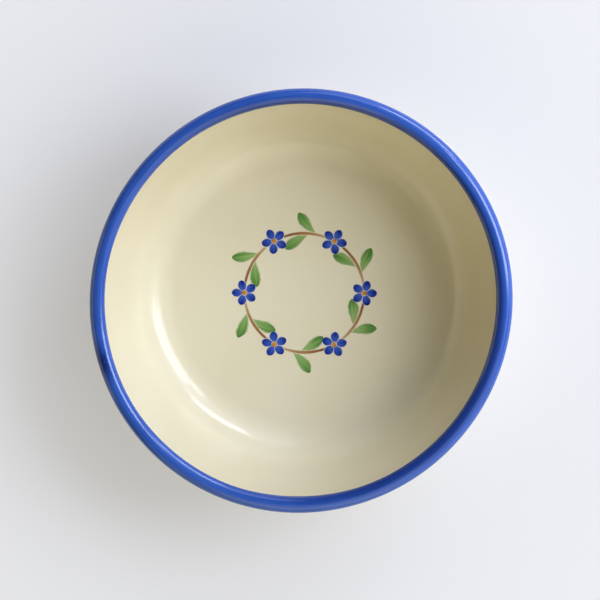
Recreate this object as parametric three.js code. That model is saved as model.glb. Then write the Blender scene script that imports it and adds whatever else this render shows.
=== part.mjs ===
// Coupe soup bowl: a thrown clay shell luted to a foot ring, glazed cream inside and out, banded
// in blue round the lip and painted with a small wreath on its floor. Nothing on it moves.
// Millimetres, +Z up, with the origin in the middle of the foot's standing face.
import * as THREE from "three";

const { degToRad } = THREE.MathUtils;

// Clay shell
const RIM_DIAMETER = 178; // over the glaze, at the widest part of the lip
const HEIGHT = 54; // from the standing face to the crown of the glazed lip
const WALL = 5.5; // clay of the floor, the wall and the rounded lip
const WALL_SWEEP = 160; // radius of the wall's gentle curve, on the inside
const LIP_LEAN = 14.5; // degrees that the wall leans out from upright at the lip
const CORNER_RADIUS = 18; // inside, where the floor turns up into the wall

// Foot ring
const FOOT_HEIGHT = 5.5; // from the standing face to the underside of the floor
const FOOT_DIAMETER = 107; // outside, at the root
const FOOT_WIDTH = 6.5; // at the root
const FOOT_TAPER = 0.8; // each side draws in by this much towards the standing face
const FOOT_EDGE = 1; // rounding of both edges of the standing face

// Fired coats
const GLAZE = 0.4; // thickness
const BAND_INSIDE = 2; // reach of the blue band down the inner wall from the rounded lip
const BAND_OUTSIDE = 6.5; // the same down the outer wall
const BARE_FOOT = 1.5; // clay wiped clean on the foot's sides, above its rounded edges

// Painted wreath
const SPRAYS = 6; // each is a twig, two leaves and a flower
const WREATH_DIAMETER = 52; // of the ring that the twigs follow
const TWIG_WIDTH = 1.1;
const TWIG_GAP = 1.2; // between the ends of two twigs, under a flower
const LEAF_LENGTH = 11.5;
const LEAF_WIDTH = 4.4;
const LEAF_SPLAY = 38; // degrees between a leaf and its twig
const OUTER_LEAF_AT = 0.3; // share of the way from one flower to the next
const INNER_LEAF_AT = 0.42;
const PETALS = 5;
const FLOWER_DIAMETER = 11;
const PETAL_OVERLAP = 1.12; // petal's round against the half gap between petals, over 1
const FLOWER_CENTRE_DIAMETER = 2.6;
const PAINT_FILM = 0.12; // thickness of one brush stroke

// Fineness of the facets
const TURN_SEGMENTS = 48;
const CORNER_STEPS = 6;
const WALL_STEPS = 3;
const LIP_STEPS = 8;
const EDGE_STEPS = 2;
const STROKE_STEPS = 8;

const clay = new THREE.MeshStandardMaterial({ color: 0xc8ab84, roughness: 0.85, metalness: 0 });
const creamGlaze = new THREE.MeshStandardMaterial({ color: 0xe0d7b8, roughness: 0.15, metalness: 0 });
const blueGlaze = new THREE.MeshStandardMaterial({ color: 0x2c55b4, roughness: 0.18, metalness: 0 });
const twigBrown = new THREE.MeshStandardMaterial({ color: 0x98683c, roughness: 0.25, metalness: 0 });
const leafGreen = new THREE.MeshStandardMaterial({ color: 0x5a9140, roughness: 0.25, metalness: 0 });
const petalBlue = new THREE.MeshStandardMaterial({ color: 0x22379a, roughness: 0.25, metalness: 0 });
const centreOchre = new THREE.MeshStandardMaterial({ color: 0xc58d35, roughness: 0.25, metalness: 0 });

// Section of the bowl, in (radius, height). A slope is an angle from level: 0 on the floor and a
// right angle on an upright wall.
const at = (radius, height) => new THREE.Vector2(radius, height);

const acrossWall = (slope) => at(Math.sin(slope), -Math.cos(slope));

function slopeArc(centre, radius, fromSlope, toSlope, steps) {
  const start = fromSlope - Math.PI / 2;
  const end = toSlope - Math.PI / 2;
  return new THREE.ArcCurve(centre.x, centre.y, radius, start, end, end < start).getPoints(steps);
}

// Joins lists of points that each begin where the last one ended.
const joined = (first, ...rest) => rest.reduce((line, next) => [...line, ...next.slice(1)], first);

function leftNormal(from, to) {
  const along = to.clone().sub(from).normalize();
  return at(-along.y, along.x);
}

// The line moved sideways to its left, with mitred corners.
function offset(line, distance) {
  return line.map((point, i) => {
    const next = Math.min(i + 1, line.length - 1);
    const after = leftNormal(line[next - 1], line[next]);
    const before = i > 0 ? leftNormal(line[i - 1], point) : after;
    const mitre = before.clone().add(after).normalize();
    return point.clone().addScaledVector(mitre, distance / mitre.dot(after));
  });
}

const floorTop = FOOT_HEIGHT + WALL;
const lipSlope = degToRad(90 - LIP_LEAN);
const lipCentre = at(RIM_DIAMETER / 2 - GLAZE - WALL / 2, HEIGHT - GLAZE - WALL / 2);
const wallCentre = lipCentre.clone().addScaledVector(acrossWall(lipSlope), -WALL_SWEEP - WALL / 2);

// The corner's arc touches the floor and runs on smoothly into the wall's arc.
const sweepLessCorner = WALL_SWEEP - CORNER_RADIUS;
const cornerHeight = floorTop + CORNER_RADIUS;
const cornerSlope = Math.acos((wallCentre.y - cornerHeight) / sweepLessCorner);
const cornerCentre = at(wallCentre.x + sweepLessCorner * Math.sin(cornerSlope), cornerHeight);

const outerSweep = WALL_SWEEP + WALL;
const bandSlopeInside = lipSlope - BAND_INSIDE / WALL_SWEEP;
const bandSlopeOutside = lipSlope - BAND_OUTSIDE / outerSweep;

const footRootOuter = at(FOOT_DIAMETER / 2, FOOT_HEIGHT);
const footRootInner = at(FOOT_DIAMETER / 2 - FOOT_WIDTH, FOOT_HEIGHT);
const footSideOuter = at(footRootOuter.x - FOOT_TAPER, FOOT_EDGE);
const footSideInner = at(footRootInner.x + FOOT_TAPER, FOOT_EDGE);
const bareShare = BARE_FOOT / (FOOT_HEIGHT - FOOT_EDGE);
const bareLineOuter = footSideOuter.clone().lerp(footRootOuter, bareShare);
const bareLineInner = footSideInner.clone().lerp(footRootInner, bareShare);

// The clay's skin, followed from the middle of the floor up the inside, over the lip, down the
// outside and on to the foot, so that the glaze always lies on its left.
const liningLine = [
  at(0, floorTop),
  ...joined(
    slopeArc(cornerCentre, CORNER_RADIUS, 0, cornerSlope, CORNER_STEPS),
    slopeArc(wallCentre, WALL_SWEEP, cornerSlope, bandSlopeInside, WALL_STEPS),
  ),
];
const bandLine = joined(
  slopeArc(wallCentre, WALL_SWEEP, bandSlopeInside, lipSlope, 1),
  slopeArc(lipCentre, WALL / 2, lipSlope + Math.PI, lipSlope, LIP_STEPS),
  slopeArc(wallCentre, outerSweep, lipSlope, bandSlopeOutside, 1),
);
const shoulderLine = joined(
  slopeArc(wallCentre, outerSweep, bandSlopeOutside, cornerSlope, WALL_STEPS),
  slopeArc(cornerCentre, CORNER_RADIUS + WALL, cornerSlope, 0, CORNER_STEPS),
);
const shellLine = joined(liningLine, bandLine, shoulderLine);
const skinLine = [...shellLine, footRootOuter, bareLineOuter];
const glazeFace = offset(skinLine, GLAZE);

// The underside within the foot ring, followed from the ring to the middle.
const baseLine = [bareLineInner, footRootInner, at(0, FOOT_HEIGHT)];
const baseGlazeFace = offset(baseLine, GLAZE);

const coat = (line, face, from, to) => [
  ...line.slice(from, to + 1),
  ...face.slice(from, to + 1).reverse(),
];

const bandStart = liningLine.length - 1;
const bandEnd = bandStart + bandLine.length - 1;

const clayOutline = [...shellLine, footRootOuter, footRootInner, at(0, FOOT_HEIGHT)];

// The foot's rounded edges run on into its sides.
const edgeCentreOuter = at(footSideOuter.x - FOOT_EDGE, FOOT_EDGE);
const edgeCentreInner = at(footSideInner.x + FOOT_EDGE, FOOT_EDGE);
const footOutline = [
  footRootInner,
  bareLineInner,
  ...slopeArc(edgeCentreInner, FOOT_EDGE, -Math.PI / 2, 0, EDGE_STEPS),
  ...slopeArc(edgeCentreOuter, FOOT_EDGE, 0, Math.PI / 2, EDGE_STEPS),
  bareLineOuter,
  footRootOuter,
];

// A solid of revolution. Its outline begins and ends on the axis, or goes once round a ring.
function turned(name, outline, material) {
  const facingOut = THREE.ShapeUtils.isClockWise(outline) ? outline.toReversed() : outline;
  const profile = facingOut[0].x > 0 ? [...facingOut, facingOut[0]] : facingOut;
  const mesh = new THREE.Mesh(new THREE.LatheGeometry(profile, TURN_SEGMENTS), material);
  mesh.name = name;
  return mesh;
}

function makeWare() {
  const ware = new THREE.Group();
  ware.rotation.x = Math.PI / 2; // stands the lathe's axis along Z
  ware.add(
    turned("clay_body", clayOutline, clay),
    turned("foot_ring", footOutline, clay),
    turned("inside_glaze", coat(skinLine, glazeFace, 0, bandStart), creamGlaze),
    turned("rim_band", coat(skinLine, glazeFace, bandStart, bandEnd), blueGlaze),
    turned("outside_glaze", coat(skinLine, glazeFace, bandEnd, skinLine.length - 1), creamGlaze),
    turned("base_glaze", coat(baseLine, baseGlazeFace, 0, baseLine.length - 1), creamGlaze),
  );
  return ware;
}

// Brush strokes, each a film that lies on the floor or on the strokes painted before it
const LAYERS = { twig: 0, leaf: 1, flower: 2, centre: 3 };

function stroke(name, shape, layer, material) {
  const film = { depth: PAINT_FILM, bevelEnabled: false, curveSegments: STROKE_STEPS };
  const mesh = new THREE.Mesh(new THREE.ExtrudeGeometry(shape, film), material);
  mesh.name = name;
  mesh.position.z = layer * PAINT_FILM;
  return mesh;
}

const sprayAngle = (2 * Math.PI) / SPRAYS;
const wreathRadius = WREATH_DIAMETER / 2;

function twigShape() {
  const gapAngle = TWIG_GAP / wreathRadius / 2;
  const outer = wreathRadius + TWIG_WIDTH / 2;
  const inner = wreathRadius - TWIG_WIDTH / 2;
  return new THREE.Shape()
    .absarc(0, 0, outer, gapAngle, sprayAngle - gapAngle, false)
    .absarc(0, 0, inner, sprayAngle - gapAngle, gapAngle, true);
}

// A pointed leaf along +X from its stalk.
function leafShape() {
  return new THREE.Shape()
    .quadraticCurveTo(LEAF_LENGTH / 2, -LEAF_WIDTH, LEAF_LENGTH, 0)
    .quadraticCurveTo(LEAF_LENGTH / 2, LEAF_WIDTH, 0, 0);
}

// A rosette of round petals, each an arc from one valley between petals to the next.
function flowerShape() {
  const halfTurn = Math.PI / PETALS;
  const round = PETAL_OVERLAP * Math.sin(halfTurn);
  const reach = FLOWER_DIAMETER / 2 / (1 + round);
  const petalRadius = reach * round;
  const halfGap = reach * Math.sin(halfTurn);
  const valley = reach * Math.cos(halfTurn) + Math.sqrt(petalRadius ** 2 - halfGap ** 2);
  const swing = Math.atan2(valley * Math.sin(halfTurn), valley * Math.cos(halfTurn) - reach);
  const outline = [];
  for (let petal = 0; petal < PETALS; petal++) {
    const turn = 2 * halfTurn * petal;
    const middle = at(reach, 0).rotateAround(at(0, 0), turn);
    const arc = new THREE.ArcCurve(middle.x, middle.y, petalRadius, turn - swing, turn + swing, false);
    outline.push(...arc.getPoints(STROKE_STEPS).slice(0, -1));
  }
  return new THREE.Shape(outline);
}

// Sets a leaf on the ring, leaning away from it to the outside or, with side -1, the inside.
function leafOnTwig(name, share, side) {
  const leaf = stroke(name, leafShape(), LAYERS.leaf, leafGreen);
  const angle = share * sprayAngle;
  leaf.position.x = wreathRadius * Math.cos(angle);
  leaf.position.y = wreathRadius * Math.sin(angle);
  leaf.rotation.z = angle + Math.PI / 2 - side * degToRad(LEAF_SPLAY);
  return leaf;
}

function makeSpray(number) {
  const spray = new THREE.Group();
  spray.rotation.z = number * sprayAngle;
  const flower = stroke(`flower_${number}`, flowerShape(), LAYERS.flower, petalBlue);
  const centreShape = new THREE.Shape().absarc(0, 0, FLOWER_CENTRE_DIAMETER / 2, 0, 2 * Math.PI, false);
  const centre = stroke(`flower_centre_${number}`, centreShape, LAYERS.centre, centreOchre);
  flower.position.x = wreathRadius;
  centre.position.x = wreathRadius;
  spray.add(
    stroke(`twig_${number}`, twigShape(), LAYERS.twig, twigBrown),
    leafOnTwig(`outer_leaf_${number}`, OUTER_LEAF_AT, 1),
    leafOnTwig(`inner_leaf_${number}`, INNER_LEAF_AT, -1),
    flower,
    centre,
  );
  return spray;
}

function makeWreath() {
  const wreath = new THREE.Group();
  wreath.position.z = floorTop + GLAZE;
  for (let number = 1; number <= SPRAYS; number++) wreath.add(makeSpray(number));
  return wreath;
}

const bowl = new THREE.Group();
bowl.name = "coupe_soup_bowl";
bowl.add(makeWare(), makeWreath());

export default bowl;
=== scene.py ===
import math

import bmesh
import bpy
from mathutils import Euler, Matrix, Vector


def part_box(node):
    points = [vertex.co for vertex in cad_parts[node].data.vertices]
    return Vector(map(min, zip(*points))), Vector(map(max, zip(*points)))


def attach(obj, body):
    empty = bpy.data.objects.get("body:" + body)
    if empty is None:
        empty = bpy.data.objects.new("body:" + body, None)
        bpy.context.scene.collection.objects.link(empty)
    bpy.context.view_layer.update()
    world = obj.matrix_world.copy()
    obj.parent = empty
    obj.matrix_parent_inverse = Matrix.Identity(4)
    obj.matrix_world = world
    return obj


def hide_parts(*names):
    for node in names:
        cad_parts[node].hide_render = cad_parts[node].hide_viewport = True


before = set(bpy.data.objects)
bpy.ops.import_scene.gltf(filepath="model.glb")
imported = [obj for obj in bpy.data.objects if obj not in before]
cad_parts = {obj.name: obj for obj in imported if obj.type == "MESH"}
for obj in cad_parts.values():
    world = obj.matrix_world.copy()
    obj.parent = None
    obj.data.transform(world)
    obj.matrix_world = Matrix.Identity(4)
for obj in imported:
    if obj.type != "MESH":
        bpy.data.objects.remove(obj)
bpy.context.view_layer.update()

# Clay shell
# Buff stoneware thrown in one piece: a flat floor, a wall that curves up and out, and a rounded lip
# of the wall's own thickness. The coats further down hide all of it.
MM = 0.001
RIM_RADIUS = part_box("rim_band")[1].x
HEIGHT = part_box("rim_band")[1].z
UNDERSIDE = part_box("clay_body")[0].z
WALL = 5.5 * MM
WALL_SWEEP = 160 * MM
LIP_LEAN = math.radians(14.5)
CORNER_RADIUS = 18 * MM
GLAZE = 0.4 * MM
BAND_INSIDE = 2 * MM
BAND_OUTSIDE = 6.5 * MM
TURN_STEPS = 192
CORNER_STEPS = 14
WALL_STEPS = 12
LIP_STEPS = 16
MERGE = 0.0005 * MM
SHARP = math.radians(40)

# Slope is the section's angle from level: 0 on the floor, a right angle on an upright wall.
FLOOR = UNDERSIDE + WALL
lip_slope = math.pi / 2 - LIP_LEAN
lip_centre = Vector((RIM_RADIUS - GLAZE - WALL / 2, HEIGHT - GLAZE - WALL / 2))


def along(centre, radius, slope):
    """The point of a round stretch of the section that has this slope, as radius and height."""
    return centre + radius * Vector((math.sin(slope), -math.cos(slope)))


wall_centre = along(lip_centre, -WALL_SWEEP - WALL / 2, lip_slope)
corner_height = FLOOR + CORNER_RADIUS
corner_slope = math.acos((wall_centre.y - corner_height) / (WALL_SWEEP - CORNER_RADIUS))
corner_centre = along(wall_centre, WALL_SWEEP - CORNER_RADIUS, corner_slope)
band_slope_inside = lip_slope - BAND_INSIDE / WALL_SWEEP
band_slope_outside = lip_slope - BAND_OUTSIDE / (WALL_SWEEP + WALL)


def line(bm, tip, radius, height):
    """Draws the section on from its tip in a straight line, and gives the new tip."""
    tip = bmesh.ops.extrude_vert_indiv(bm, verts=[tip])["verts"][0]
    tip.co = (radius, 0, height)
    return tip


def arc(bm, tip, centre, slope_change, steps):
    """Draws the section on from its tip round a centre, and gives the new tip."""
    centre = (centre.x, 0, centre.y)
    swept = bmesh.ops.spin(
        bm, geom=[tip], cent=centre, axis=(0, -1, 0), angle=slope_change, steps=steps
    )
    return swept["geom_last"][0]


# The wheel left the bowl a little oval towards its lip, the lip fuller on one side and not quite
# level, and a spiral of faint throwing rings outside. The brush let the band's inner edge waver.
OVAL = 0.0108
OVAL_TOWARDS = math.radians(58)
LIP_WAVE = 0.2 * MM
LIP_WAVES = 3
LIP_FULLER = 0.08
LIP_UNEVEN = 0.07
LIP_FULL_TOWARDS = math.radians(-45)
LIP_REACH = 14 * MM
RING_DEPTH = 0.07 * MM
RING_PITCH = 5 * MM
BAND_RAISED = 1.3 * MM
BAND_OVAL = 0.2 * MM
BAND_WAVER = 0.4 * MM
BAND_WAVES = 7
WAVER_REACH = 12 * MM
outer_sweep = WALL_SWEEP + WALL + GLAZE


def share_between(value, start, end):
    """How far a value is on the way from start to end, from 0 to 1."""
    return min(1, max(0, (value - start) / (end - start)))


def bow(share):
    """0 at both ends of a stretch and 1 in its middle, for a share of the way along it."""
    return 4 * share * (1 - share)


def by_hand(place):
    """Where a point of the true round form lies on the bowl."""
    towards = math.atan2(place.y, place.x)
    section = Vector((math.hypot(place.x, place.y), place.z))
    spoke = section - wall_centre
    slope = math.atan2(spoke.x, -spoke.y)
    sweep = spoke.length
    outside = sweep > WALL_SWEEP + WALL / 2
    # Throwing rings outside, deepest halfway up.
    if outside and corner_slope < slope < band_slope_outside:
        climbed = share_between(slope, corner_slope, band_slope_outside)
        ring = math.sin(math.tau * slope * sweep / RING_PITCH + towards)
        sweep += RING_DEPTH * bow(climbed) * ring
    # A fuller lip, thickened inwards from its outer face.
    if slope > corner_slope:
        near_lip = share_between(slope, lip_slope - LIP_REACH / WALL_SWEEP, lip_slope) ** 2
        fuller = LIP_FULLER + LIP_UNEVEN * math.cos(towards - LIP_FULL_TOWARDS)
        sweep -= max(0, outer_sweep - sweep) * fuller * near_lip
    # The band's edge, raised inside and wavering on both sides.
    if corner_slope < slope < lip_slope:
        band_edge, raised = (band_slope_outside, 0) if outside else (band_slope_inside, BAND_RAISED)
        above = share_between(slope, lip_slope, band_edge)
        below = share_between(slope, band_edge - WAVER_REACH / WALL_SWEEP, band_edge)
        waver = (BAND_OVAL + BAND_WAVER * math.sin(BAND_WAVES * towards)) * math.cos(2 * towards)
        slope += above * below * (raised + waver) / WALL_SWEEP
    if slope > corner_slope:
        section = along(wall_centre, sweep, slope)
    # The oval and the wave, both growing towards the lip.
    climb = max(0, (section.y - FLOOR) / (HEIGHT - FLOOR)) ** 2
    radius = section.x * (1 + OVAL * climb * math.cos(2 * (towards - OVAL_TOWARDS)))
    lift = LIP_WAVE * climb * math.cos(LIP_WAVES * towards)
    return Vector((radius * math.cos(towards), radius * math.sin(towards), section.y + lift))


def fired(bm, name):
    """Makes a finished mesh into an object with smooth faces and crisp edges."""
    mesh = bpy.data.meshes.new(name)
    bm.to_mesh(mesh)
    bm.free()
    mesh.shade_smooth()
    mesh.set_sharp_from_angle(angle=SHARP)
    piece = bpy.data.objects.new(name, mesh)
    bpy.context.scene.collection.objects.link(piece)
    return piece


def turn(bm, name):
    """Spins a section once round the bowl's axis."""
    section = bm.verts[:] + bm.edges[:]
    bmesh.ops.spin(
        bm, geom=section, cent=(0, 0, 0), axis=(0, 0, 1), angle=math.tau, steps=TURN_STEPS,
        use_merge=True,
    )
    bmesh.ops.remove_doubles(bm, verts=bm.verts[:], dist=MERGE)
    bmesh.ops.recalc_face_normals(bm, faces=bm.faces[:])
    for vert in bm.verts:
        vert.co = by_hand(vert.co)
    return fired(bm, name)


def carry(piece, node, finish):
    """Gives a piece its finish, and sets it on the body in place of its plain solid."""
    piece.data.materials.append(finish)
    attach(piece, "root")
    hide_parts(node)


shell_section = bmesh.new()
tip = shell_section.verts.new((0, 0, FLOOR))
tip = line(shell_section, tip, corner_centre.x, FLOOR)
tip = arc(shell_section, tip, corner_centre, corner_slope, CORNER_STEPS)
tip = arc(shell_section, tip, wall_centre, lip_slope - corner_slope, WALL_STEPS)
tip = arc(shell_section, tip, lip_centre, -math.pi, LIP_STEPS)
tip = arc(shell_section, tip, wall_centre, corner_slope - lip_slope, WALL_STEPS)
tip = arc(shell_section, tip, corner_centre, -corner_slope, CORNER_STEPS)
line(shell_section, tip, 0, UNDERSIDE)
clay_shell = turn(shell_section, "clay_shell")


class Flow:
    """A value, colour or vector on its way through a material's nodes."""

    def __init__(self, tree, socket=None):
        self.tree = tree
        self.socket = socket

    def node(self, kind, settings, sockets, output=0):
        """Adds a node: its settings first, then the values or links of its sockets."""
        made = self.tree.nodes.new("ShaderNode" + kind)
        for name, value in settings.items():
            setattr(made, name, value)
        for name, value in sockets.items():
            if isinstance(value, Flow):
                self.tree.links.new(value.socket, made.inputs[name])
            else:
                made.inputs[name].default_value = value
        return Flow(self.tree, made.outputs[output] if made.outputs else None)

    def sum(self, operation, first, second):
        """A Math node's result on two values."""
        return self.node("Math", {"operation": operation}, {0: first, 1: second})

    def __add__(self, other):
        return self.sum("ADD", self, other)

    def __sub__(self, other):
        return self.sum("SUBTRACT", self, other)

    def __mul__(self, other):
        return self.sum("MULTIPLY", self, other)

    def __radd__(self, other):
        return self.sum("ADD", other, self)

    def __rsub__(self, other):
        return self.sum("SUBTRACT", other, self)

    def __rmul__(self, other):
        return self.sum("MULTIPLY", other, self)

    def size(self):
        """The value without its sign."""
        return self.sum("ABSOLUTE", self, 0)

    def rise(self, low, high):
        """0 where the value is at low or beyond it, 1 at high, and smooth between them."""
        settings = {"interpolation_type": "SMOOTHSTEP"}
        return self.node("MapRange", settings, {"Value": self, "From Min": low, "From Max": high})

    def mix(self, first, second):
        """The first colour where the value is 0 and the second where it is 1."""
        # A Mix node has a set of sockets for each kind of data, and these are the colour's.
        return self.node("Mix", {"data_type": "RGBA"}, {0: self, 6: first, 7: second}, 2)

    def vector(self, operation, other, output=0):
        """A Vector Math node's result on this vector and another."""
        return self.node("VectorMath", {"operation": operation}, {0: self, 1: other}, output)

    def part(self, axis):
        """One of a vector's three numbers."""
        return self.node("SeparateXYZ", {}, {"Vector": self}, axis)

    def noise(self, size, detail=2):
        """Cloudy noise about this place, with blots of about this size."""
        return self.node("TexNoise", {}, {"Vector": self, "Scale": 1 / size, "Detail": detail})

    def bump(self, height):
        """A normal for waves of this height, in metres, where the value goes from 0 to 1."""
        return self.node("Bump", {}, {"Height": self, "Distance": height, "Strength": 1.0})


def new_finish(name):
    """A new material with no nodes yet, the flow that adds them, and the place on the piece."""
    material = bpy.data.materials.new(name)
    material.use_nodes = True
    material.node_tree.nodes.clear()
    flow = Flow(material.node_tree)
    return material, flow, flow.node("TexCoord", {}, {}, "Object")


def set_surface(flow, sockets):
    """Ends a material in one surface with these values and links."""
    surface = flow.node("BsdfPrincipled", {}, sockets)
    flow.node("OutputMaterial", {}, {"Surface": surface})


def screen(red, green, blue):
    """A colour as a screen shows it, 0 to 255, made linear."""
    levels = [level / 255 for level in (red, green, blue)]
    linear = [
        level / 12.92 if level < 0.04045 else ((level + 0.055) / 1.055) ** 2.4
        for level in levels
    ]
    return (*linear, 1)


# Levels are those of a noise between which a mark goes from nothing to full. A share is how much of
# its colour a full mark shows.
BARE_FOOT = 2.5 * MM
CLAY_BUFF = screen(206, 178, 138)
CLAY_TOASTED = screen(172, 128, 84)
TOAST_CLOUD = 9 * MM
TOAST_LEVELS = (0.42, 0.72)
CLAY_FLASHED = screen(150, 98, 60)
FLASH_HEIGHTS = (0.4 * BARE_FOOT, 1.2 * BARE_FOOT)
FLASH_WAVER = 1.4 * MM
FLASH_BLOT = 3 * MM
FLASH_SHARE = 0.75
GRIT_BROWN = screen(96, 66, 42)
GRIT_SIZE = 0.9 * MM
GRIT_LEVELS = (0.69, 0.74)
GRIT_SHARE = 0.7
GRAIN_SIZE = 0.45 * MM
GRAIN_HEIGHT = 0.05 * MM
CLAY_ROUGHNESS = 0.78
GRAIN_ROUGHNESS = 0.14


def fired_clay():
    """Bare stoneware: buff, toasted in clouds and by the glaze's edge, with grit and a sandy grain."""
    material, flow, place = new_finish("fired_clay")
    toast = place.noise(TOAST_CLOUD, detail=3).rise(*TOAST_LEVELS)
    height = place.part("Z") + FLASH_WAVER * place.noise(FLASH_BLOT)
    flash = height.rise(*FLASH_HEIGHTS)
    grit = place.noise(GRIT_SIZE, detail=1).rise(*GRIT_LEVELS)
    grain = place.noise(GRAIN_SIZE, detail=3)
    clay = (FLASH_SHARE * flash).mix(toast.mix(CLAY_BUFF, CLAY_TOASTED), CLAY_FLASHED)
    set_surface(flow, {
        "Base Color": (GRIT_SHARE * grit).mix(clay, GRIT_BROWN),
        "Roughness": CLAY_ROUGHNESS + GRAIN_ROUGHNESS * grain,
        "Normal": grain.bump(GRAIN_HEIGHT),
    })
    return material


clay_finish = fired_clay()
carry(clay_shell, "clay_body", clay_finish)

# Foot ring
# The same clay, thrown as a ring and luted to the underside with slip. It is wiped bare of glaze where
# it stands, and its edges are rounded with a wet sponge.
FOOT_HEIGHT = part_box("foot_ring")[1].z
FOOT_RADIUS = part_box("foot_ring")[1].x
FOOT_WIDTH = 6.5 * MM
FOOT_TAPER = 0.8 * MM
FOOT_EDGE = 1 * MM
FOOT_EDGE_STEPS = 5

foot_section = bmesh.new()
tip = foot_section.verts.new((FOOT_RADIUS - FOOT_WIDTH, 0, FOOT_HEIGHT))
tip = line(foot_section, tip, FOOT_RADIUS - FOOT_WIDTH + FOOT_TAPER, 0)
tip = line(foot_section, tip, FOOT_RADIUS - FOOT_TAPER, 0)
tip = line(foot_section, tip, FOOT_RADIUS, FOOT_HEIGHT)
line(foot_section, tip, FOOT_RADIUS - FOOT_WIDTH, FOOT_HEIGHT)
foot = turn(foot_section, "foot")


def round_rings(piece, height, rounding, steps):
    """Rounds the sharp rings of edges that lie at one height of a piece."""
    bm = bmesh.new()
    bm.from_mesh(piece.data)
    rings = [
        edge for edge in bm.edges
        if all(abs(vert.co.z - height) < MERGE for vert in edge.verts)
        and edge.calc_face_angle() > SHARP
    ]
    bmesh.ops.bevel(
        bm, geom=rings, offset=rounding, offset_type="OFFSET", affect="EDGES", segments=steps,
        profile=0.5, material=-1,
    )
    bm.to_mesh(piece.data)
    bm.free()
    piece.data.shade_smooth()
    piece.data.set_sharp_from_angle(angle=SHARP)


round_rings(foot, 0, FOOT_EDGE, FOOT_EDGE_STEPS)
carry(foot, "foot_ring", clay_finish)

# Cream lining
# The glaze on the inside, poured in and swirled out: a glossy cream coat over the floor and the wall,
# up to the blue band.
lining_section = bmesh.new()
tip = lining_section.verts.new((0, 0, FLOOR + GLAZE))
tip = line(lining_section, tip, corner_centre.x, FLOOR + GLAZE)
tip = arc(lining_section, tip, corner_centre, corner_slope, CORNER_STEPS)
tip = arc(lining_section, tip, wall_centre, band_slope_inside - corner_slope, WALL_STEPS)
tip = line(lining_section, tip, *along(wall_centre, WALL_SWEEP, band_slope_inside))
tip = arc(lining_section, tip, wall_centre, corner_slope - band_slope_inside, WALL_STEPS)
tip = arc(lining_section, tip, corner_centre, -corner_slope, CORNER_STEPS)
line(lining_section, tip, 0, FLOOR)
cream_lining = turn(lining_section, "cream_lining")

CREAM = screen(231, 224, 194)
CREAM_WARM = screen(229, 221, 189)
CREAM_THIN = screen(224, 216, 185)
CREAM_CLOUD = 40 * MM
CLOUD_LEVELS = (0.35, 0.65)
THIN_HEIGHTS = (FLOOR + 4 * MM, FLOOR + 20 * MM)
SPECK_BROWN = screen(176, 164, 128)
SPECKS_APART = 17 * MM
SPECK_EDGE = (0.012, 0.03)  # from its middle, as shares of that distance
SPECK_SHARE = 0.5
GLAZE_IOR = 1.46
GLAZE_ROUGHNESS = 0.1
DULLED_BY = 0.05
DULLED_CLOUD = 15 * MM
DIMPLE_SIZE = 9 * MM
DIMPLE_DEPTH = 0.02 * MM


def cream_colour(place):
    """Cream glaze: clouded, thinner up the wall, with a faint speck of iron here and there."""
    cloud = place.noise(CREAM_CLOUD).rise(*CLOUD_LEVELS)
    thin = place.part("Z").rise(*THIN_HEIGHTS)
    spread = {"Vector": place, "Scale": 1 / SPECKS_APART}
    speck = 1 - place.node("TexVoronoi", {}, spread, "Distance").rise(*SPECK_EDGE)
    coat = thin.mix(cloud.mix(CREAM, CREAM_WARM), CREAM_THIN)
    return (SPECK_SHARE * speck).mix(coat, SPECK_BROWN)


def glossy_glaze(flow, place, colour, ior=GLAZE_IOR):
    """Sets a glaze surface: glassy, and very gently uneven as a melted coat is."""
    set_surface(flow, {
        "Base Color": colour,
        "Roughness": GLAZE_ROUGHNESS + DULLED_BY * place.noise(DULLED_CLOUD),
        "IOR": ior,
        "Normal": place.noise(DIMPLE_SIZE, detail=1).bump(DIMPLE_DEPTH),
    })


def cream_glaze():
    """The cream coat, the same on all three cream pieces."""
    material, flow, place = new_finish("cream_glaze")
    glossy_glaze(flow, place, cream_colour(place))
    return material


cream_finish = cream_glaze()
carry(cream_lining, "inside_glaze", cream_finish)

# Blue band
# Cobalt colour brushed round the lip while the bowl turned on a wheel, and fired on. The brush left
# fine streaks and a darker lap where it met its own start. One inner side of the lip has painted shade.
BAND_STEPS = 4

band_section = bmesh.new()
band_start = along(wall_centre, WALL_SWEEP - GLAZE, band_slope_inside)
tip = band_section.verts.new((band_start.x, 0, band_start.y))
tip = arc(band_section, tip, wall_centre, lip_slope - band_slope_inside, BAND_STEPS)
tip = arc(band_section, tip, lip_centre, -math.pi, LIP_STEPS)
tip = arc(band_section, tip, wall_centre, band_slope_outside - lip_slope, BAND_STEPS)
tip = line(band_section, tip, *along(wall_centre, WALL_SWEEP + WALL, band_slope_outside))
tip = arc(band_section, tip, wall_centre, lip_slope - band_slope_outside, BAND_STEPS)
tip = arc(band_section, tip, lip_centre, math.pi, LIP_STEPS)
tip = arc(band_section, tip, wall_centre, band_slope_inside - lip_slope, BAND_STEPS)
line(band_section, tip, *band_start)
blue_band = turn(band_section, "blue_band")

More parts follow.
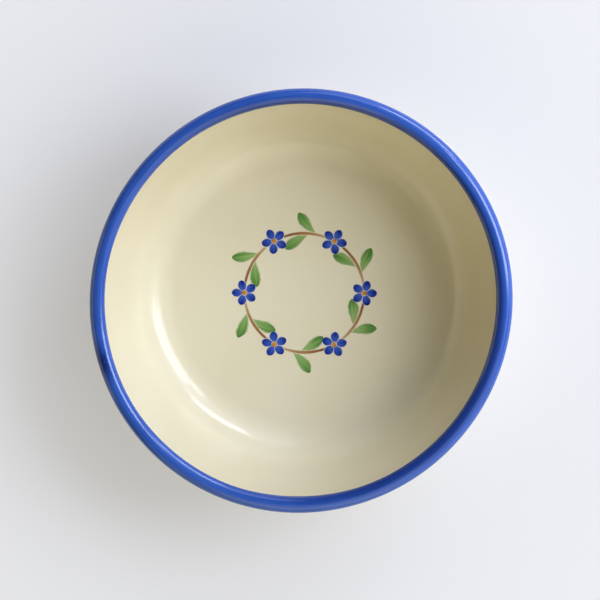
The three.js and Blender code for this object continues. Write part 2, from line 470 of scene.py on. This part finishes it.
BAND_BLUE = screen(54, 98, 190)
BAND_DEEP = screen(32, 74, 166)
BAND_DARK = screen(18, 44, 118)
BAND_IOR = 1.57
STREAK_LENGTH = 32 * MM
STREAK_WIDTH = 0.8 * MM
STREAK_LEVELS = (0.3, 0.72)
STREAK_SHARE = 0.5
POOL_SIZE = 16 * MM
POOL_LEVELS = (0.4, 0.7)
POOL_SHARE = 0.2
# The inner side of the lip on the side away from the windows, darkened as painted shade.
SHADE_SIDE_TOWARDS = math.radians(15)
SHADE_SIDE_ACROSS = (-0.8 * RIM_RADIUS, 0.2 * RIM_RADIUS)
SHADE_RADII = (RIM_RADIUS - 2.5 * MM, RIM_RADIUS - 5.5 * MM)
PAINTED_SHADE_SHARE = 0.75
LAP_AT = math.radians(197)
LAP_LENGTH = 12 * MM
LAP_RADII = (RIM_RADIUS - 5 * MM, RIM_RADIUS - 3.5 * MM)
LAP_BLOT = 2.5 * MM
LAP_LEVELS = (0.2, 0.5)


def brushed_blue():
    """Cobalt: streaked the way the brush went, with painted shade on one inner side, and doubled at the
    lap.
    """
    material, flow, place = new_finish("brushed_blue")
    from_lap = flow.node("Mapping", {}, {"Vector": place, "Rotation": (0, 0, math.pi - LAP_AT)})
    round_rim = flow.sum("ARCTAN2", from_lap.part("Y"), from_lap.part("X"))
    from_axis = place.vector("MULTIPLY", (1, 1, 0)).vector("LENGTH", (0, 0, 0), "Value")
    brushed = flow.node("CombineXYZ", {}, {
        "X": (RIM_RADIUS / STREAK_LENGTH) * round_rim,
        "Y": (1 / STREAK_WIDTH) * from_axis,
        "Z": (1 / STREAK_WIDTH) * place.part("Z"),
    })
    streak = brushed.noise(1, detail=3).rise(*STREAK_LEVELS)
    pool = place.noise(POOL_SIZE).rise(*POOL_LEVELS)
    brushed_on = (STREAK_SHARE * streak + POOL_SHARE * pool).mix(BAND_BLUE, BAND_DEEP)
    # Painted shade: the inner side of the lip away from the windows is mixed towards the dark blue.
    shade_side = (math.cos(SHADE_SIDE_TOWARDS), math.sin(SHADE_SIDE_TOWARDS), 0)
    across = place.vector("DOT_PRODUCT", shade_side, "Value").rise(*SHADE_SIDE_ACROSS)
    painted_shade = from_axis.rise(*SHADE_RADII) * across
    with_painted_shade = (PAINTED_SHADE_SHARE * painted_shade).mix(brushed_on, BAND_DARK)
    met = round_rim.size().rise(math.pi - LAP_LENGTH / RIM_RADIUS, math.pi)
    lap = met * place.noise(LAP_BLOT).rise(*LAP_LEVELS) * from_axis.rise(*LAP_RADII)
    glossy_glaze(flow, place, lap.mix(with_painted_shade, BAND_DARK), BAND_IOR)
    return material


carry(blue_band, "rim_band", brushed_blue())

# Cream jacket
# The glaze on the outside, dipped, from the band down the wall and round on to the foot's outer side,
# where it ends in a rounded bead above the bare clay.
RING_STEPS = 56
BEAD = 0.3 * MM
BEAD_STEPS = 4

jacket_section = bmesh.new()
bare_radius = FOOT_RADIUS - FOOT_TAPER * (1 - BARE_FOOT / FOOT_HEIGHT)
jacket_start = along(wall_centre, WALL_SWEEP + WALL, band_slope_outside)
tip = jacket_section.verts.new((jacket_start.x, 0, jacket_start.y))
tip = line(jacket_section, tip, *along(wall_centre, WALL_SWEEP + WALL + GLAZE, band_slope_outside))
tip = arc(jacket_section, tip, wall_centre, corner_slope - band_slope_outside, RING_STEPS)
tip = arc(jacket_section, tip, corner_centre, -corner_slope, CORNER_STEPS)
tip = line(jacket_section, tip, FOOT_RADIUS + GLAZE, UNDERSIDE - GLAZE)
tip = line(jacket_section, tip, bare_radius + GLAZE, BARE_FOOT)
tip = line(jacket_section, tip, bare_radius, BARE_FOOT)
tip = line(jacket_section, tip, FOOT_RADIUS, UNDERSIDE)
tip = line(jacket_section, tip, corner_centre.x, UNDERSIDE)
tip = arc(jacket_section, tip, corner_centre, corner_slope, CORNER_STEPS)
arc(jacket_section, tip, wall_centre, band_slope_outside - corner_slope, WALL_STEPS)
cream_jacket = turn(jacket_section, "cream_jacket")
round_rings(cream_jacket, BARE_FOOT, BEAD, BEAD_STEPS)
carry(cream_jacket, "outside_glaze", cream_finish)

# Cream base
# The same glaze on the underside, within the foot ring, where it comes down the foot's inner side
# and ends in the same rounded bead above the bare clay.
base_section = bmesh.new()
bare_radius_inner = FOOT_RADIUS - FOOT_WIDTH + FOOT_TAPER * (1 - BARE_FOOT / FOOT_HEIGHT)
root_radius_inner = FOOT_RADIUS - FOOT_WIDTH
tip = base_section.verts.new((0, 0, UNDERSIDE))
tip = line(base_section, tip, root_radius_inner, UNDERSIDE)
tip = line(base_section, tip, bare_radius_inner, BARE_FOOT)
tip = line(base_section, tip, bare_radius_inner - GLAZE, BARE_FOOT)
tip = line(base_section, tip, root_radius_inner - GLAZE, UNDERSIDE - GLAZE)
line(base_section, tip, 0, UNDERSIDE - GLAZE)
cream_base = turn(base_section, "cream_base")
round_rings(cream_base, BARE_FOOT, BEAD, BEAD_STEPS)
carry(cream_base, "base_glaze", cream_finish)

# Painted wreath
# A ring of six sprays brushed on the floor, each a twig, two leaves and a flower with a dot. The
# stains melted into the glaze in the kiln, so each stroke is a thin glossy film.
SPRAYS = 6
SPRAY_TURN = math.tau / SPRAYS
WREATH_RADIUS = 26 * MM
PAINTED_FLOOR = FLOOR + GLAZE
FILM = 0.02 * MM
DAB_STEPS = 16
DAB_ROWS = 6


def spot(radius, towards, heading, layer):
    """The place and turn of a stroke on the floor, one film higher for each layer."""
    height = PAINTED_FLOOR + FILM * (layer + 1)
    place = Matrix.Translation((radius * math.cos(towards), radius * math.sin(towards), height))
    return place @ Matrix.Rotation(heading, 4, "Z")


def dab(bm, length, width, fullest, roundness, bend, where):
    """Adds one dab of the brush, which swells to its full width at a share of its length."""
    made = bmesh.ops.create_grid(
        bm, x_segments=DAB_STEPS, y_segments=DAB_ROWS, size=0.5, calc_uvs=True
    )
    # This power moves the crest of the sine from halfway to the fullest place.
    skew = math.log(0.5) / math.log(fullest)
    for vert in made["verts"]:
        share = (1 + math.sin(math.pi * vert.co.x)) / 2
        swell = max(0, math.sin(math.pi * share ** skew)) ** roundness
        vert.co = (length * share, width * swell * vert.co.y + bend * bow(share), 0)
    bmesh.ops.transform(bm, matrix=where, verts=made["verts"])


def new_stroke():
    """An empty mesh whose UV map runs along and across each stroke."""
    bm = bmesh.new()
    bm.loops.layers.uv.new("stroke")
    return bm


def painted(bm, layer, node, finish):
    """Gives strokes the thickness of their layer's films, and sets them on the bowl."""
    bmesh.ops.remove_doubles(bm, verts=bm.verts[:], dist=MERGE)
    bmesh.ops.solidify(bm, geom=bm.faces[:], thickness=FILM * (layer + 1))
    bmesh.ops.recalc_face_normals(bm, faces=bm.faces[:])
    carry(fired(bm, "painted_" + node), node, finish)


# Runs are shares of a stroke's length, from its start.
BRISTLE_STREAKS = (1.3, 7, 0)  # along and across a stroke
BRISTLE_SHIFT = (90, 90, 0)  # per metre, so that no two strokes are alike
BRISTLE_LEVELS = (0.3, 0.7)
LOAD_RUN = (0.05, 0.85)
LOAD_BY_RUN = 0.65
LOAD_BY_STREAK = 0.5
LOAD_LACK = 0.08
POOL_RUN = (0.45, 1)
POOL_LEAST = 0.2
POOL_BY_STREAK = 0.7
FILM_RUN = (0, 0.4)
FILM_AT_START = 0.7
FEATHER_START = 0.1
RAGGED_BLOT = 1.8 * MM
RAGGED_SHARE = 0.8


def stain(name, washed, full, pooled, feather):
    """Stain in the glaze: thin where the stroke starts, fuller to its end, with a ragged soft edge."""
    material, flow, place = new_finish(name)
    stroke = flow.node("UVMap", {"uv_map": "stroke"}, {})
    run = stroke.part("X")
    ragged = RAGGED_SHARE * feather * (place.noise(RAGGED_BLOT) - 0.5)
    from_edge = 1 - (2 * stroke.part("Y") - 1).size() + ragged
    shift = place.vector("MULTIPLY", BRISTLE_SHIFT)
    bristles = stroke.vector("MULTIPLY", BRISTLE_STREAKS).vector("ADD", shift)
    streak = bristles.noise(1).rise(*BRISTLE_LEVELS)
    load = LOAD_BY_STREAK * streak + LOAD_BY_RUN * run.rise(*LOAD_RUN) - LOAD_LACK
    pool = run.rise(*POOL_RUN) * (POOL_LEAST + POOL_BY_STREAK * streak)
    colour = pool.mix(load.mix(washed, full), pooled)
    laid = FILM_AT_START + (1 - FILM_AT_START) * run.rise(*FILM_RUN)
    film = from_edge.rise(FEATHER_START * feather, feather) * laid
    glossy_glaze(flow, place, film.mix(cream_colour(place), colour))
    return material


# Twigs
# Six curved lines of iron-brown stain, each from one flower to the next. Each is one stroke of the
# brush's tip, thin at both ends, and lies over the leaves.
TWIG_WIDTH = 1.75 * MM
TWIG_GAP = 1.2 * MM
TWIG_STEPS = 28
TWIG_THIN = 0.6
TWIG_LAYER = 1
TWIG_WASHED = screen(184, 146, 98)
TWIG_BROWN = screen(146, 94, 52)
TWIG_POOLED = screen(112, 66, 36)
TWIG_FEATHER = 0.5

twig_brown = stain("twig_brown", TWIG_WASHED, TWIG_BROWN, TWIG_POOLED, TWIG_FEATHER)
gap_turn = TWIG_GAP / WREATH_RADIUS
for number in range(1, SPRAYS + 1):
    twig = new_stroke()
    line_of_brush = bmesh.ops.create_grid(
        twig, x_segments=TWIG_STEPS, y_segments=DAB_ROWS, size=0.5, calc_uvs=True
    )
    for vert in line_of_brush["verts"]:
        share = vert.co.x + 0.5
        width = TWIG_WIDTH * (TWIG_THIN + (1 - TWIG_THIN) * math.sin(math.pi * share))
        towards = number * SPRAY_TURN + gap_turn + share * (SPRAY_TURN - 2 * gap_turn)
        radius = WREATH_RADIUS + width * vert.co.y
        vert.co = (radius * math.cos(towards), radius * math.sin(towards), PAINTED_FLOOR + FILM)
    painted(twig, TWIG_LAYER, f"twig_{number}", twig_brown)

# Leaves
# Twelve dabs of copper-green stain, two to a twig, on its outer and its inner side. Each is one press
# of a loaded brush, drawn outwards from the twig's line.
LEAF_LENGTH = 12.4 * MM
LEAF_WIDTH = 5.8 * MM
LEAF_FULLEST = 0.66
LEAF_ROUNDNESS = 0.68
LEAF_BEND = 0.5 * MM
LEAF_SPLAY = math.radians(38)
LEAF_LAYER = 0
# Each leaf's side of the twig, and its place as a share of the way to the next flower.
LEAF_SIDES = {"outer_leaf": (1, 0.3), "inner_leaf": (-1, 0.42)}
LEAF_WASHED = screen(160, 184, 116)
LEAF_GREEN = screen(92, 146, 62)
LEAF_POOLED = screen(42, 104, 34)
LEAF_FEATHER = 0.4

leaf_green = stain("leaf_green", LEAF_WASHED, LEAF_GREEN, LEAF_POOLED, LEAF_FEATHER)
for number in range(1, SPRAYS + 1):
    for kind, (side, share) in LEAF_SIDES.items():
        leaf = new_stroke()
        towards = (number + share) * SPRAY_TURN
        heading = towards + math.pi / 2 - side * LEAF_SPLAY
        where = spot(WREATH_RADIUS, towards, heading, LEAF_LAYER)
        dab(leaf, LEAF_LENGTH, LEAF_WIDTH, LEAF_FULLEST, LEAF_ROUNDNESS, side * LEAF_BEND, where)
        painted(leaf, LEAF_LAYER, f"{kind}_{number}", leaf_green)

# Flowers
# Six flowers of cobalt stain, one between every two twigs. Each is five round dabs of the brush,
# pressed outwards from the middle, where each laps a little over the one before it.
PETALS = 5
PETAL_LENGTH = 5.4 * MM
PETAL_WIDTH = 4.2 * MM
PETAL_FULLEST = 0.6
PETAL_ROUNDNESS = 0.55
PETAL_START = 0.2 * MM
FLOWER_LAYER = 2
PETAL_WASHED = screen(72, 108, 194)
PETAL_BLUE = screen(20, 44, 146)
PETAL_POOLED = screen(6, 14, 96)
PETAL_FEATHER = 0.25

petal_blue = stain("petal_blue", PETAL_WASHED, PETAL_BLUE, PETAL_POOLED, PETAL_FEATHER)
for number in range(1, SPRAYS + 1):
    flower = new_stroke()
    towards = number * SPRAY_TURN
    middle = spot(WREATH_RADIUS, towards, 0, FLOWER_LAYER)
    for petal in range(PETALS):
        heading = Matrix.Rotation(towards + petal * math.tau / PETALS, 4, "Z")
        lapped = Matrix.Translation((PETAL_START, 0, FILM * petal / PETALS))
        where = middle @ heading @ lapped
        dab(flower, PETAL_LENGTH, PETAL_WIDTH, PETAL_FULLEST, PETAL_ROUNDNESS, 0, where)
    painted(flower, FLOWER_LAYER, f"flower_{number}", petal_blue)

# Flower dots
# Six dots of thin ochre stain, one in the middle of each flower. Each is a single touch of the
# brush's tip, put on last.
DOT_SIZE = 2.6 * MM
DOT_FULLEST = 0.5
DOT_ROUNDNESS = 0.5
DOT_LAYER = 4
DOT_WASHED = screen(206, 158, 92)
DOT_OCHRE = screen(176, 120, 58)
DOT_POOLED = screen(124, 76, 36)
DOT_FEATHER = 0.3

dot_ochre = stain("dot_ochre", DOT_WASHED, DOT_OCHRE, DOT_POOLED, DOT_FEATHER)
dot_middle = Matrix.Translation((-DOT_SIZE / 2, 0, 0))
for number in range(1, SPRAYS + 1):
    dot = new_stroke()
    towards = number * SPRAY_TURN
    where = spot(WREATH_RADIUS, towards, towards, DOT_LAYER) @ dot_middle
    dab(dot, DOT_SIZE, DOT_SIZE, DOT_FULLEST, DOT_ROUNDNESS, 0, where)
    painted(dot, DOT_LAYER, f"flower_centre_{number}", dot_ochre)

# Table
# A plain pale table top of painted board under the foot, not part of the bowl. It is seen paler than
# it is lit, the more so further from the bowl, and it keeps the bowl's shadow.
TABLE_REACH = 15.0
TABLE_WHITE = screen(232, 233, 236)
TABLE_ROUGHNESS = 0.6
SEEN_WHITE = screen(243, 244, 247)
SEEN_NEAR = 0.3
SEEN_FAR = 0.65
NEAR_TO_FAR = (0.075, 0.2)

table_mesh = bmesh.new()
bmesh.ops.create_grid(table_mesh, x_segments=1, y_segments=1, size=TABLE_REACH)
table = fired(table_mesh, "table")
table_finish, flow, place = new_finish("table_white")
lit = flow.node("BsdfPrincipled", {}, {"Base Color": TABLE_WHITE, "Roughness": TABLE_ROUGHNESS})
glow = flow.node("Emission", {}, {"Color": SEEN_WHITE, "Strength": 1.0})
seen_directly = flow.node("LightPath", {}, {}, "Is Camera Ray")
seen_in_gloss = flow.node("LightPath", {}, {}, "Is Glossy Ray")
seen_through = flow.node("LightPath", {}, {}, "Is Transmission Ray")
away = place.vector("LENGTH", (0, 0, 0), "Value").rise(*NEAR_TO_FAR)
paler = SEEN_NEAR + (SEEN_FAR - SEEN_NEAR) * away
paler_if_seen = paler * (seen_directly + seen_in_gloss + seen_through)
top = flow.node("MixShader", {}, {0: paler_if_seen, 1: lit, 2: glow})
flow.node("OutputMaterial", {}, {"Surface": top})
table.data.materials.append(table_finish)

# Light
# Soft daylight from windows and sky on the right, thrown back by a white cloth and a card on the near
# side and by a warm strip on the left, in a dark room whose horizon is pale on the right.
AIM = Vector((0, 1.4 * MM, HEIGHT))
LAMP_DISTANCE = 1.2
DAYLIGHT = (0.82, 0.865, 1.0)
SKYLIGHT = (0.77, 0.81, 1.0)
CARD_LIGHT = (1.0, 0.93, 0.6)
CLOTH_LIGHT = (1.0, 0.95, 0.8)
ROOM_LIGHT = (1.0, 0.8, 0.5)
HORIZON = (1.0, 1.0, 1.04, 1)
HORIZON_SHADED = (0.2, 0.2, 0.2, 1)
SHADED_TO_PALE = (-0.6, 0.8)
OVERHEAD = (0.065, 0.06, 0.055, 1)
HORIZON_TO_OVERHEAD = (0.03, 0.25)


def set_out(thing, tilt, roll, distance):
    """Points a lamp or camera at the bowl's mouth, tilted from straight above and rolled, in degrees."""
    turned = Euler([math.radians(angle) for angle in tilt]).to_matrix()
    thing.rotation_euler = (turned @ Matrix.Rotation(math.radians(roll), 3, "Z")).to_euler()
    thing.location = AIM + turned @ Vector((0, 0, distance))
    bpy.context.scene.collection.objects.link(thing)


def soft_box(name, azimuth, lean, roll, width, depth, glow, colour):
    """A soft rectangle of light, whose face is as bright as its glow. Angles are in degrees."""
    lamp = bpy.data.lights.new(name, "AREA")
    lamp.shape = "RECTANGLE"
    lamp.size = depth
    lamp.size_y = width
    lamp.energy = glow * math.pi * width * depth
    lamp.color = colour
    box = bpy.data.objects.new(name, lamp)
    box.visible_camera = False
    set_out(box, (0, lean, azimuth), roll, LAMP_DISTANCE)


soft_box(
    "window", azimuth=14.5, lean=57, roll=20,
    width=0.68, depth=0.3, glow=7.0, colour=DAYLIGHT,
)
soft_box(
    "window_blind", azimuth=18, lean=42, roll=20,
    width=0.7, depth=0.28, glow=5.8, colour=DAYLIGHT,
)
soft_box(
    "side_window", azimuth=53.5, lean=65, roll=20,
    width=0.56, depth=0.26, glow=8.2, colour=DAYLIGHT,
)
soft_box(
    "sky", azimuth=40, lean=55, roll=0,
    width=2.4, depth=0.75, glow=1.75, colour=SKYLIGHT,
)
soft_box(
    "white_cloth", azimuth=300, lean=50, roll=-34,
    width=1.9, depth=1.3, glow=0.72, colour=CLOTH_LIGHT,
)
soft_box(
    "white_card", azimuth=262, lean=60, roll=0,
    width=1.4, depth=1.0, glow=0.6, colour=CARD_LIGHT,
)
soft_box(
    "left_strip", azimuth=188, lean=73, roll=0,
    width=1.0, depth=0.3, glow=1.5, colour=ROOM_LIGHT,
)

world = bpy.data.worlds.new("surround")
world.use_nodes = True
world.node_tree.nodes.clear()
surround = Flow(world.node_tree)
direction = surround.node("TexCoord", {}, {}, "Generated")
horizon = direction.part("X").rise(*SHADED_TO_PALE).mix(HORIZON_SHADED, HORIZON)
room = direction.part("Z").rise(*HORIZON_TO_OVERHEAD).mix(horizon, OVERHEAD)
background = surround.node("Background", {}, {"Color": room, "Strength": 1.0})
surround.node("OutputWorld", {}, {"Surface": background})
bpy.context.scene.world = world
bpy.context.scene.view_settings.view_transform = "Standard"

# Camera
# A long lens a metre from the bowl's mouth. It looks almost straight down into the bowl, from a
# little above its axis in the picture and to the right.
PICTURE_WIDTH = 250.2 * MM
CAMERA_DISTANCE = 1.0
CAMERA_TILT = (-6, 2.5, 0)
camera_data = bpy.data.cameras.new("camera")
camera_data.lens = camera_data.sensor_width * CAMERA_DISTANCE / PICTURE_WIDTH
camera = bpy.data.objects.new("camera", camera_data)
set_out(camera, CAMERA_TILT, 0, CAMERA_DISTANCE)
bpy.context.scene.camera = camera
